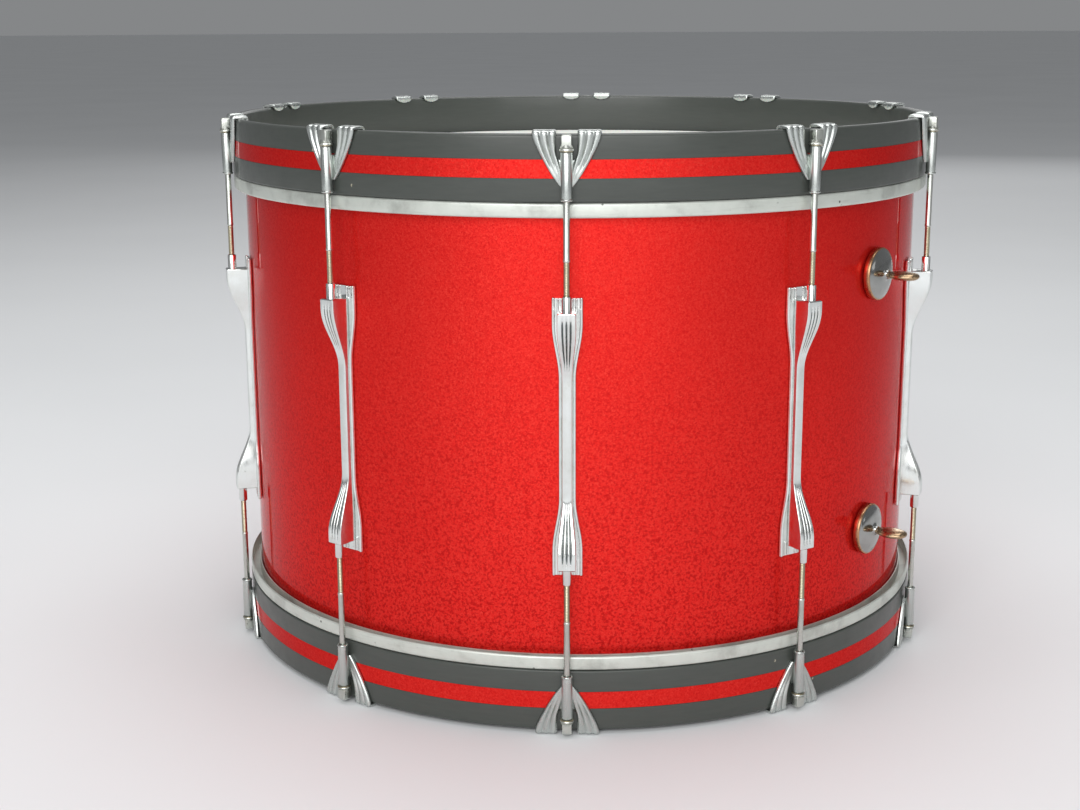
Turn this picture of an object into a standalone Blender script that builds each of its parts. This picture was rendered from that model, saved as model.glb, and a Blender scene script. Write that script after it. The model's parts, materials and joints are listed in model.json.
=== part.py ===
"""A double-headed wooden drum, 20 in across and 13 in deep, standing on its lower claws.

Metres, +Z up. The origin is the centre of the circle that the drum stands on. Lug 1 faces -Y, and the
azimuth of a lug, claw or rod runs from there towards +X. Each repeated fitting is modelled once at
azimuth 0, where outwards is -Y and the drum's middle height is z = 0, and is then placed by its object's
location and rotation under one empty at the drum's centre.
"""

import math

import bmesh
import bpy
from mathutils import Matrix, Vector

# ---- driving dimensions, in metres ----
LUGS = 10
FACETS = 60  # facets round the drum, a whole number to each lug's sector
GAP = 0.0003  # left between pieces that rest on each other

SHELL_RADIUS = 0.254
SHELL_DEPTH = 0.3302
SHELL_WALL = 0.0065
REINFORCEMENT_WALL = 0.006
REINFORCEMENT_HEIGHT = 0.032
EDGE_BEVEL = 0.010  # the inner 45 degree cut of each bearing edge

HOOP_RADIUS = 0.2626
HOOP_INNER_RADIUS = 0.2563
HOOP_HEIGHT = 0.0422
HOOP_ROUND = 0.0012
RIM_ABOVE_EDGE = 0.0316  # from the shell's bearing edge up to the hoop's rim

FILM = 0.0004
FLESH_HOOP_INNER = 0.2562
FLESH_HOOP_OUTER = 0.2624
FLESH_HOOP_HEIGHT = 0.0096

ROD_CIRCLE = 0.2675
ROD_RADIUS = 0.0022
ROD_HEAD_ACROSS = 0.00635
COLLAR_RADIUS = 0.0047
HEAD_HEIGHT = 0.0078
COLLAR_DEPTH = 0.0106  # from the rim down to the underside of the collar
ROD_END = 0.0775  # height of the rod's inner end above the drum's middle

CLAW_PLATE = 0.0022
CLAW_HALF_WIDTH = 0.0214
CLAW_DEPTH = 0.0323
NOTCH_HALF_WIDTH = 0.0067
NOTCH_DEPTH = 0.0170
TUBE_RADIUS = 0.0039
TUBE_BORE = 0.0026
TUBE_LENGTH = 0.0300
HOOK_RISE = 0.0025
HOOK_DROP = 0.0032

LUG_HALF_LENGTH = 0.0918
LUG_BODY_HALF_LENGTH = 0.0843
LUG_WALL = 0.0014
LUG_FLANGE = 0.0026
NUT_HOLE = 0.0034
FITTINGS_LIFT = 0.002  # lugs and tone controls sit this far above the drum's middle

TONE_AZIMUTH = 55.0  # degrees, near the middle between two lugs
TONE_HEIGHT = 0.0916  # of each tone control from the lugs' middle
TONE_DISC_RADIUS = 0.0182
TONE_SHAFT_RADIUS = 0.0030
DAMPER_ANGLE = 55.0  # degrees that the damper arm swings from its rest up to the head
DAMPER_RADIUS = 0.229  # distance of the arm's outer face from the drum's axis

VENT_AZIMUTH = 198.0
VENT_HOLE = 0.0040
VENT_TUBE = 0.0052
VENT_FLANGE = 0.0082

# ---- worked out from those ----
EDGE = SHELL_DEPTH / 2
RIM = EDGE + RIM_ABOVE_EDGE
HOOP_FOOT = RIM - HOOP_HEIGHT
MIDDLE = RIM + HOOK_RISE  # the drum's middle height above the floor
SECTOR = 2 * math.pi / LUGS


# ---- materials ----
def material(name, colour, roughness, metallic=0.0):
    made = bpy.data.materials.new(name)
    made.use_nodes = True
    shader = made.node_tree.nodes["Principled BSDF"]
    shader.inputs["Base Color"].default_value = (*colour, 1.0)
    shader.inputs["Roughness"].default_value = roughness
    shader.inputs["Metallic"].default_value = metallic
    return made


# ---- mesh tools ----
def mesh_from(name, points, faces):
    """A mesh whose faces all point outwards."""
    bm = bmesh.new()
    corners = [bm.verts.new(p) for p in points]
    for face in faces:
        bm.faces.new([corners[i] for i in face])
    bmesh.ops.recalc_face_normals(bm, faces=bm.faces)
    mesh = bpy.data.meshes.new(name)
    bm.to_mesh(mesh)
    bm.free()
    return mesh


def turned(name, profile, facets=FACETS):
    """A profile of (radius, height) points turned about Z. The profile closes on itself, or on the axis
    where its first and last points have radius 0."""
    on_axis = profile[0][0] == 0
    rings = []
    points = []
    for radius, height in profile:
        count = 1 if radius == 0 else facets
        rings.append([len(points) + i for i in range(count)])
        for i in range(count):
            angle = 2 * math.pi * i / facets
            points.append((radius * math.sin(angle), -radius * math.cos(angle), height))
    faces = []
    pairs = list(zip(rings, rings[1:])) if on_axis else list(zip(rings, rings[1:] + rings[:1]))
    for lower, upper in pairs:
        for i in range(facets):
            j = (i + 1) % facets
            face = [lower[i % len(lower)], lower[j % len(lower)], upper[j % len(upper)], upper[i % len(upper)]]
            faces.append(list(dict.fromkeys(face)))
    return mesh_from(name, points, faces)


def loft(name, sections):
    """A closed solid through sections that have the same number of points, with flat ends."""
    count = len(sections[0])
    points = [p for section in sections for p in section]
    faces = [list(range(count)), [len(points) - count + i for i in range(count)]]
    for k in range(len(sections) - 1):
        for i in range(count):
            j = (i + 1) % count
            faces.append([k * count + i, k * count + j, (k + 1) * count + j, (k + 1) * count + i])
    return mesh_from(name, points, faces)


def circle(radius, count):
    """Points of a circle as (u, v) pairs."""
    angles = [2 * math.pi * i / count for i in range(count)]
    return [(radius * math.cos(a), radius * math.sin(a)) for a in angles]


def rod_mesh(name, centre, radius, start, end, count=8):
    """A round bar along Z, with its axis at centre (x, y)."""
    ring = circle(radius, count)
    return loft(name, [[(centre[0] + u, centre[1] + v, z) for u, v in ring] for z in (start, end)])


def pin_mesh(name, height, radius, start, end, count=12):
    """A round bar along Y at x = 0, its axis at this height, from y = start to y = end."""
    ring = circle(radius, count)
    return loft(name, [[(u, y, height + v) for u, v in ring] for y in (start, end)])


def combined(name, base, steps):
    """The mesh left when each (operation, mesh) of steps is applied to base in turn with Booleans."""
    obj = bpy.data.objects.new(name, base)
    bpy.context.scene.collection.objects.link(obj)
    helpers = []
    for number, (operation, mesh) in enumerate(steps):
        helper = bpy.data.objects.new(f"{name}_helper_{number}", mesh)
        helper.hide_render = True
        bpy.context.scene.collection.objects.link(helper)
        helpers.append(helper)
        boolean = obj.modifiers.new(operation, "BOOLEAN")
        boolean.operation = operation
        boolean.object = helper
    graph = bpy.context.evaluated_depsgraph_get()
    made = bpy.data.meshes.new_from_object(obj.evaluated_get(graph))
    made.name = name
    for helper in [*helpers, obj]:
        bpy.data.objects.remove(helper)
    return made


def place(name, mesh, finish, location=(0, 0, 0), rotation=(0, 0, 0)):
    """An object of this mesh under the empty at the drum's centre."""
    if not mesh.materials:
        mesh.materials.append(finish)
        mesh.shade_smooth()
        mesh.set_sharp_from_angle(angle=math.radians(35))
    obj = bpy.data.objects.new(name, mesh)
    obj.location = location
    obj.rotation_euler = rotation
    obj.parent = bpy.data.objects["drum_centre"]
    bpy.context.scene.collection.objects.link(obj)
    return obj


def at_azimuth(degrees, radius, height):
    angle = math.radians(degrees)
    return Vector((radius * math.sin(angle), -radius * math.cos(angle), height))


def smooth_step(value, low, high):
    t = min(1.0, max(0.0, (value - low) / (high - low)))
    return t * t * (3 - 2 * t)


# ---- shell, with its glued reinforcement rings ----
def shell_mesh():
    inner = SHELL_RADIUS - SHELL_WALL
    ring_inner = inner - REINFORCEMENT_WALL
    top_half = [
        (inner, EDGE - REINFORCEMENT_HEIGHT - REINFORCEMENT_WALL),
        (ring_inner, EDGE - REINFORCEMENT_HEIGHT),
        (ring_inner, EDGE - EDGE_BEVEL),
        (ring_inner + EDGE_BEVEL, EDGE),
        (SHELL_RADIUS, EDGE - (SHELL_RADIUS - ring_inner - EDGE_BEVEL)),
    ]
    bottom_half = [(r, -z) for r, z in reversed(top_half)]
    blank = turned("shell_blank", top_half + bottom_half)
    cuts = []
    for sign in (1, -1):
        height = FITTINGS_LIFT + sign * TONE_HEIGHT
        hole = pin_mesh("shaft_hole", height, TONE_SHAFT_RADIUS + 0.0008, -0.27, -0.235)
        hole.transform(Matrix.Rotation(math.radians(TONE_AZIMUTH), 4, "Z"))
        cuts.append(("DIFFERENCE", hole))
    vent = pin_mesh("vent_hole", 0.0, VENT_TUBE + 0.0005, -0.27, -0.235)
    vent.transform(Matrix.Rotation(math.radians(VENT_AZIMUTH), 4, "Z"))
    cuts.append(("DIFFERENCE", vent))
    return combined("shell", blank, cuts)


# ---- counterhoop, modelled as the upper one ----
def counterhoop_mesh():
    profile = [
        (HOOP_INNER_RADIUS, HOOP_FOOT),
        (HOOP_RADIUS, HOOP_FOOT),
        (HOOP_RADIUS, RIM - HOOP_ROUND),
        (HOOP_RADIUS - HOOP_ROUND, RIM),
        (HOOP_INNER_RADIUS, RIM),
    ]
    return turned("counterhoop", profile)


# ---- drumhead: the film and the flesh hoop that it is bonded into, modelled as the upper one ----
def head_mesh():
    edge_radius = SHELL_RADIUS - SHELL_WALL - REINFORCEMENT_WALL + EDGE_BEVEL
    fold = EDGE - (SHELL_RADIUS - edge_radius)  # height at which the shell's outer round-over starts
    hoop_top = HOOP_FOOT - GAP
    hoop_bottom = hoop_top - FLESH_HOOP_HEIGHT
    inner, outer = GAP, GAP + FILM  # the film's two faces, as distances from the shell
    profile = [
        (0, EDGE + outer),
        (edge_radius + 0.4 * outer, EDGE + outer),
        (SHELL_RADIUS + outer, fold + 0.4 * outer),
        (SHELL_RADIUS + outer, hoop_top),
        (FLESH_HOOP_OUTER, hoop_top),
        (FLESH_HOOP_OUTER, hoop_bottom),
        (FLESH_HOOP_INNER, hoop_bottom),
        (SHELL_RADIUS + inner, hoop_top - FLESH_HOOP_HEIGHT / 3),
        (SHELL_RADIUS + inner, fold + 0.4 * inner),
        (edge_radius + 0.4 * inner, EDGE + inner),
        (0, EDGE + inner),
    ]
    return turned("head", profile)


# ---- lug: a hollow casting that flares at both ends ----
def lug_body_half_width(z):
    return 0.00405 + 0.00205 * smooth_step(abs(z), 0.030, 0.076)


def lug_body_radius(z):
    return 0.2601 + 0.0120 * smooth_step(abs(z), 0.030, 0.078)


def lug_flange_half_width(z):
    return 0.0051 + 0.0045 * smooth_step(abs(z), 0.025, 0.078)


def lug_section(half_width, inner, outer, z):
    return [(-half_width, -inner, z), (half_width, -inner, z), (half_width, -outer, z), (-half_width, -outer, z)]


def lug_mesh():
    back = SHELL_RADIUS + GAP
    heights = [-0.068, -0.054, -0.040, 0.040, 0.054, 0.068]
    flange_heights = [-LUG_HALF_LENGTH, *heights, LUG_HALF_LENGTH]
    body_heights = [-LUG_BODY_HALF_LENGTH, *heights, LUG_BODY_HALF_LENGTH]
    cavity_end = LUG_BODY_HALF_LENGTH - LUG_WALL
    cavity_heights = [-cavity_end, *heights, cavity_end]
    flange = loft(
        "lug_flange",
        [lug_section(lug_flange_half_width(z), back, back + LUG_FLANGE, z) for z in flange_heights],
    )
    body = loft(
        "lug_body",
        [lug_section(lug_body_half_width(z), back + LUG_FLANGE / 2, lug_body_radius(z), z) for z in body_heights],
    )
    cavity = loft(
        "lug_cavity",
        [
            lug_section(lug_body_half_width(z) - LUG_WALL, back - 0.002, lug_body_radius(z) - LUG_WALL, z)
            for z in cavity_heights
        ],
    )
    steps = [("UNION", body), ("DIFFERENCE", cavity)]
    for sign in (1, -1):
        inside = sign * (cavity_end - 0.003)
        outside = sign * (LUG_BODY_HALF_LENGTH + 0.003)
        hole = rod_mesh("nut_hole", (0, -ROD_CIRCLE), NUT_HOLE, min(inside, outside), max(inside, outside))
        steps.append(("DIFFERENCE", hole))
    return combined("lug", flange, steps)


# ---- claw: a fan-shaped plate with two hooks over the rim and a tube for the rod ----
def claw_plate_mesh(inner):
    right = [
        (NOTCH_HALF_WIDTH * 0.62, -NOTCH_DEPTH),
        (NOTCH_HALF_WIDTH, -NOTCH_DEPTH + 0.0040),
        (NOTCH_HALF_WIDTH, 0.0),
        (CLAW_HALF_WIDTH, 0.0),
        (CLAW_HALF_WIDTH * 0.86, -CLAW_DEPTH * 0.28),
        (CLAW_HALF_WIDTH * 0.58, -CLAW_DEPTH * 0.68),
        (TUBE_RADIUS * 1.25, -CLAW_DEPTH),
    ]
    outline = right + [(-x, z) for x, z in reversed(right)]
    return loft("claw_plate", [[(x, -r, RIM + z) for x, z in outline] for r in (inner, inner + CLAW_PLATE)])


def claw_hook_mesh(side, inner):
    outer = inner + CLAW_PLATE
    lip = HOOP_INNER_RADIUS - 0.0016  # clear of the curved hoop across the whole width of the hook
    profile = [
        (outer - 0.0001, -0.0010),
        (outer - 0.0001, HOOK_RISE - 0.0015),
        (outer - 0.0016, HOOK_RISE),
        (lip + 0.0004, HOOK_RISE),
        (lip - 0.0018, HOOK_RISE - 0.0014),
        (lip - 0.0018, -HOOK_DROP),
        (lip, -HOOK_DROP),
        (lip, GAP),
        (inner + 0.0001, GAP),
        (inner + 0.0001, -0.0010),
    ]
    ends = [side * (NOTCH_HALF_WIDTH + 0.0001), side * (CLAW_HALF_WIDTH - 0.0004)]
    return loft("claw_hook", [[(x, -r, RIM + z) for r, z in profile] for x in ends])


def claw_mesh():
    inner = HOOP_RADIUS + GAP
    tube_top = RIM - COLLAR_DEPTH - GAP
    centre = (0, -ROD_CIRCLE)
    tube = rod_mesh("claw_tube", centre, TUBE_RADIUS, tube_top - TUBE_LENGTH, tube_top)
    bore = rod_mesh("claw_bore", centre, TUBE_BORE, tube_top - TUBE_LENGTH - 0.005, tube_top + 0.005)
    web_half_width = 0.0022
    web_profile = [
        (inner + CLAW_PLATE / 2, -NOTCH_DEPTH - 0.0008),
        (ROD_CIRCLE - 0.001, -NOTCH_DEPTH - 0.0008),
        (ROD_CIRCLE - 0.001, -CLAW_DEPTH - 0.004),
        (inner + CLAW_PLATE / 2, -CLAW_DEPTH + 0.001),
    ]
    web = loft(
        "claw_web",
        [[(x, -r, RIM + z) for r, z in web_profile] for x in (-web_half_width, web_half_width)],
    )
    steps = [("UNION", claw_hook_mesh(1, inner)), ("UNION", claw_hook_mesh(-1, inner))]
    steps += [("UNION", web), ("UNION", tube), ("DIFFERENCE", bore)]
    return combined("claw", claw_plate_mesh(inner), steps)


# ---- tension rod: square key head, round collar and a long shank, about its own axis ----
def square_ring(across):
    """Points of a square as (u, v) pairs, at the same angles as circle() gives for 8."""
    return [(u * across / 2 / max(abs(u), abs(v)), v * across / 2 / max(abs(u), abs(v))) for u, v in circle(1.0, 8)]


def tension_rod_mesh():
    shank = circle(ROD_RADIUS, 8)
    collar = circle(COLLAR_RADIUS, 8)
    head = square_ring(ROD_HEAD_ACROSS)
    head_top = RIM - GAP
    collar_top = head_top - HEAD_HEIGHT
    collar_foot = RIM - COLLAR_DEPTH
    levels = [(shank, ROD_END), (shank, collar_foot), (collar, collar_foot), (collar, collar_top - 0.0010)]
    levels += [(head, collar_top), (head, head_top)]
    return loft("tension_rod", [[(u, v, z) for u, v in ring] for ring, z in levels])


# ---- tone control: the outer thumb turn with its shaft, and the damper arm inside ----
def tone_knob_mesh():
    """About the control's own axis, with y = 0 at the shell's outer surface and -Y outwards."""
    rings = [
        (TONE_DISC_RADIUS - 0.0006, 0.0008),
        (TONE_DISC_RADIUS, 0.0016),
        (TONE_DISC_RADIUS, 0.0040),
        (TONE_DISC_RADIUS - 0.0014, 0.0050),
        (0.0070, 0.0068),
        (0.0038, 0.0084),
        (0.0032, 0.0110),
    ]
    levels = [[(u, -out, v) for u, v in circle(radius, 16)] for radius, out in rings]
    disc = loft("tone_disc", levels)
    shaft = pin_mesh("tone_shaft", 0.0, TONE_SHAFT_RADIUS, -0.0035, SHELL_RADIUS - DAMPER_RADIUS + 0.0030)
    blade = loft("tone_blade", [tone_blade_section(out) for out in (0.0095, 0.0150, 0.0215, 0.0280, 0.0330)])
    return combined("tone_knob", disc, [("UNION", shaft), ("UNION", blade)])


def tone_blade_section(out):
    """The flat oval blade's section at this distance from the shell: wide across, thin up and down."""
    along = (out - 0.0095) / (0.0345 - 0.0095)
    half_width = 0.0022 + 0.0068 * math.sin(math.pi * along) ** 0.8
    half_height = 0.0016 + 0.0014 * math.sin(math.pi * along)
    return [(u * half_width, -out, v * half_height) for u, v in circle(1.0, 10)]


def damper_arm_mesh(to_edge):
    """An upper control's arm, pointing straight up, about the control's own axis, to_edge metres below
    the shell's bearing edge."""
    face = SHELL_RADIUS - DAMPER_RADIUS  # y of the arm's outer face
    arm_top = to_edge - 0.0115
    strip = 0.0020
    hub = pin_mesh("damper_hub", 0.0, 0.0090, face, face + 0.0060)
    arm = loft(
        "damper_strip",
        [[(x, y, z) for x, y in ((-w, face + 0.0005), (w, face + 0.0005), (w, face + strip), (-w, face + strip))]
         for w, z in ((0.0070, 0.0), (0.0050, arm_top))],
    )
    shelf_reach = 0.0340
    shelf = loft(
        "damper_shelf",
        [[(x, y, z) for x, y in ((-0.0120, face + 0.0005), (0.0120, face + 0.0005),
                                 (0.0120, face + shelf_reach), (-0.0120, face + shelf_reach))]
         for z in (arm_top - strip, arm_top)],
    )
    felt = rod_mesh("damper_felt", (0, face + shelf_reach - 0.0150), 0.0140, arm_top - 0.0005, arm_top + 0.0100)
    bore = pin_mesh("damper_bore", 0.0, TONE_SHAFT_RADIUS + GAP, face - 0.01, face + 0.02)
    steps = [("UNION", arm), ("UNION", shelf), ("UNION", felt), ("DIFFERENCE", bore)]
    return combined("damper_arm", hub, steps)


# ---- vent grommet: a flanged eyelet through the shell ----
def vent_grommet_mesh():
    inside = SHELL_RADIUS - SHELL_WALL - 0.0010
    flange_back = SHELL_RADIUS + GAP
    tube = pin_mesh("vent_tube", 0.0, VENT_TUBE, -flange_back - 0.0006, -inside, 16)
    flange = pin_mesh("vent_flange", 0.0, VENT_FLANGE, -flange_back - 0.0012, -flange_back, 16)
    hole = pin_mesh("vent_bore", 0.0, VENT_HOLE, -flange_back - 0.01, -inside + 0.01, 16)
    return combined("vent_grommet", flange, [("UNION", tube), ("DIFFERENCE", hole)])


def build():
    for obj in list(bpy.data.objects):
        bpy.data.objects.remove(obj)
    centre = bpy.data.objects.new("drum_centre", None)
    centre.location = (0, 0, MIDDLE)
    bpy.context.scene.collection.objects.link(centre)

    sparkle = material("sparkle_shell", (0.60, 0.02, 0.02), 0.25)
    black = material("black_hoop", (0.035, 0.038, 0.036), 0.45)
    skin = material("drumhead", (0.85, 0.84, 0.79), 0.55)
    casting = material("lug_chrome", (0.78, 0.79, 0.80), 0.12, 1.0)
    claw_chrome = material("claw_chrome", (0.78, 0.79, 0.80), 0.14, 1.0)
    rod_nickel = material("rod_nickel", (0.70, 0.69, 0.65), 0.22, 1.0)
    knob_nickel = material("knob_nickel", (0.52, 0.45, 0.34), 0.28, 1.0)
    damper_steel = material("damper_steel", (0.62, 0.62, 0.60), 0.35, 1.0)
    grommet_nickel = material("grommet_nickel", (0.70, 0.69, 0.65), 0.22, 1.0)

    upside_down = (0, math.pi, 0)
    place("shell", shell_mesh(), sparkle)
    counterhoop = counterhoop_mesh()
    head = head_mesh()
    for side, rotation in (("upper", (0, 0, 0)), ("lower", upside_down)):
        place(f"{side}_counterhoop", counterhoop, black, rotation=rotation)
        place(f"{side}_head", head, skin, rotation=rotation)

    lug = lug_mesh()
    claw = claw_mesh()
    rod = tension_rod_mesh()
    for number in range(LUGS):
        turn = number * SECTOR
        label = f"{number + 1:02d}"
        place(f"lug_{label}", lug, casting, location=(0, 0, FITTINGS_LIFT), rotation=(0, 0, turn))
        rod_foot = at_azimuth(math.degrees(turn), ROD_CIRCLE, 0.0)
        for side, flip in (("upper", 0.0), ("lower", math.pi)):
            place(f"{side}_claw_{label}", claw, claw_chrome, rotation=(0, flip, turn))
            place(f"{side}_rod_{label}", rod, rod_nickel, location=rod_foot, rotation=(0, flip, turn))

    knob = tone_knob_mesh()
    swing = math.radians(DAMPER_ANGLE)
    for side, sign in (("upper", 1), ("lower", -1)):
        foot = at_azimuth(TONE_AZIMUTH, SHELL_RADIUS, FITTINGS_LIFT + sign * TONE_HEIGHT)
        arm = damper_arm_mesh(EDGE - abs(foot.z))
        azimuth = math.radians(TONE_AZIMUTH)
        place(f"{side}_tone_knob", knob, knob_nickel, location=foot, rotation=(0, 0, azimuth))
        lean = -swing if side == "upper" else math.pi + swing
        place(f"{side}_damper_arm", arm, damper_steel, location=foot, rotation=(0, lean, azimuth))
    vent_turn = (0, 0, math.radians(VENT_AZIMUTH))
    place("vent_grommet", vent_grommet_mesh(), grommet_nickel, rotation=vent_turn)


build()
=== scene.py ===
"""The looks of a double-headed wooden drum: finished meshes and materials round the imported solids.

Metres, +Z up. Each fitting is modelled once at azimuth 0, where outwards is -Y and the drum's middle
height is z = 0, and is then placed round the drum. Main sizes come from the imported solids' boxes.
"""

import json
import math

import bmesh
import bpy
from mathutils import Matrix, Vector


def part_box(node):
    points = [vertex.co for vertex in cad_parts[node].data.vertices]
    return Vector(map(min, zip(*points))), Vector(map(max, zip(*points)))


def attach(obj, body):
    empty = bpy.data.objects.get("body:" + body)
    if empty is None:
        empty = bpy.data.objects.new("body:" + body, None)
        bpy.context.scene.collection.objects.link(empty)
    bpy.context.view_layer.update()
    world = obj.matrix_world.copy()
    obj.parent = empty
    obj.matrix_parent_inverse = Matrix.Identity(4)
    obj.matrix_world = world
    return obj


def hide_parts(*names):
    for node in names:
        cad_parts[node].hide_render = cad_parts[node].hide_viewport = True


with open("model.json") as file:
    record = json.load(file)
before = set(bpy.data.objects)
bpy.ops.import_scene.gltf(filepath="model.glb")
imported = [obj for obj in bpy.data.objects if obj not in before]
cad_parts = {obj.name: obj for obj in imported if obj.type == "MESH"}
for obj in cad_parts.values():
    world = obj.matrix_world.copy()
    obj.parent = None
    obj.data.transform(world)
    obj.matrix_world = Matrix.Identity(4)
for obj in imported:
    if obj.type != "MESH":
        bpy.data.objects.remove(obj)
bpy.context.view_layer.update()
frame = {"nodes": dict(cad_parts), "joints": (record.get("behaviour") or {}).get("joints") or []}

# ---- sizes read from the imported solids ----
SIDES = ("upper", "lower")
LUGS = sum(1 for name in frame["nodes"] if name.startswith("lug_"))
shell_low, shell_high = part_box("shell")
hoop_low, hoop_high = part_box("upper_counterhoop")
head_low, head_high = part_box("upper_head")
lug_low, lug_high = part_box("lug_01")
claw_low, claw_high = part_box("upper_claw_01")
rod_low, rod_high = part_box("upper_rod_01")

MIDDLE = (shell_low.z + shell_high.z) / 2
EDGE = shell_high.z - MIDDLE
SHELL_RADIUS = shell_high.x
HOOP_RADIUS = hoop_high.x
RIM = hoop_high.z - MIDDLE
HOOP_FOOT = hoop_low.z - MIDDLE
HEAD_TOP = head_high.z - MIDDLE
FLESH_RADIUS = head_high.x
FLESH_FOOT = head_low.z - MIDDLE
LUG_MIDDLE = (lug_low.z + lug_high.z) / 2 - MIDDLE
LUG_HALF_LENGTH = (lug_high.z - lug_low.z) / 2
LUG_BACK = -lug_high.y
LUG_FRONT = -lug_low.y
CLAW_TOP = claw_high.z - MIDDLE
TUBE_FOOT = claw_low.z - MIDDLE
CLAW_HALF_WIDTH = claw_high.x
ROD_CIRCLE = -(rod_low.y + rod_high.y) / 2
ROD_TOP = rod_high.z - MIDDLE
ROD_END = rod_low.z - MIDDLE

# ---- detail sizes ----
FACETS = 288  # round the drum
SHELL_WALL = 0.0065
RING_WALL = 0.006
RING_HEIGHT = 0.032
EDGE_BEVEL = 0.010
HOOP_INNER_RADIUS = 0.2563
HOOP_ROUND = 0.0011
RIM_ROUND = 0.0024
INLAY_TOP = 0.0155  # below the rim
INLAY_FOOT = 0.0275
INLAY_GROOVE = 0.0006
FILM = 0.0004
GAP = 0.0003

LUG_BODY_HALF_LENGTH = 0.0843
BAR_FRONT = 0.2601  # the lug's slim middle bar, from the drum's axis
BAR_HALF_WIDTH = 0.00405
BODY_FLARE = 0.00205  # how much wider each side is at the ends
BODY_FLARE_SPAN = (0.042, 0.074)  # from the lug's middle
FRONT_FLARE_SPAN = (0.037, 0.078)
FLANGE_HALF_WIDTH = 0.0055
FLANGE_FLARE = 0.0044
FLANGE_FLARE_SPAN = (0.040, 0.075)
FLUTE_START_SPAN = (0.040, 0.058)
FLUTE_END_SPAN = (0.0760, 0.0825)
SCREW_HEIGHT = 0.062  # from the lug's middle
LUG_FLANGE = 0.0022
LUG_BEAD = 0.0010
FLUTES = 4
FLUTE_DEPTH = 0.0014
NUT_RADIUS = 0.00305
NUT_BORE = 0.00235

CLAW_PLATE = 0.0022
NOTCH_HALF_WIDTH = 0.0067
NOTCH_DEPTH = 0.0170
CLAW_DEPTH = 0.0323
WING_RIBS = 3
RIB_DEPTH = 0.0009
HOOK_DROP = 0.0032
TUBE_RADIUS = 0.0039
TUBE_BORE = 0.0026
TUBE_TOP = 0.0109  # below the rim

ROD_RADIUS = 0.0022
THREAD_RADIUS = 0.00205
THREAD_PITCH = 0.00106
THREAD_START = 0.119
COLLAR_RADIUS = 0.0047
COLLAR_FOOT = 0.0106  # below the rim
HEAD_HEIGHT = 0.0078
HEAD_ACROSS = 0.00635

TONE_DISC_RADIUS = 0.0182
TONE_SHAFT_RADIUS = 0.0030
TONE_SHAFT_END = 0.0280  # inwards from the shell's outside
BLADE_START = 0.0095
BLADE_END = 0.0330
DAMPER_FACE = 0.025  # inwards from the shell's outside
DAMPER_ANGLE = math.radians(55)

PIN_START = 0.235  # hole cutters through the shell's wall, from the drum's axis
PIN_END = 0.27

VENT_AZIMUTH = math.radians(198)
VENT_HOLE = 0.0040
VENT_TUBE = 0.0052
VENT_FLANGE = 0.0082

WORLD_COLOUR = (0.84, 0.86, 0.88, 1.0)
WORLD_STRENGTH = 0.28
LIGHT_TARGET = (0.0, 0.0, 0.2)
LIGHTS = (  # name, place, target, size, watts
    ("front_wall", (0.0, -4.2, 1.7), LIGHT_TARGET, (5.6, 2.8), 108.0),
    ("left_wall", (-3.6, -1.6, 1.7), LIGHT_TARGET, (1.3, 2.4), 4.0),
    ("right_wall", (3.6, -1.6, 1.7), LIGHT_TARGET, (1.3, 2.4), 7.0),
    ("back_wall", (0.6, 4.2, 1.5), LIGHT_TARGET, (3.0, 1.6), 14.0),
    ("key", (-0.5, -2.9, 2.0), LIGHT_TARGET, (2.0, 1.6), 34.0),
    ("top", (0.0, 0.4, 2.8), (0.0, 0.0, 0.0), (2.4, 2.4), 48.0),
)

CAMERA_POSITION = (0.0353, -1.2794, 0.4641)
CAMERA_PITCH = 76.798  # degrees from straight down
CAMERA_YAW = 2.9535
CAMERA_ROLL = -0.2715
CAMERA_LENS = 54.776


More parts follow.
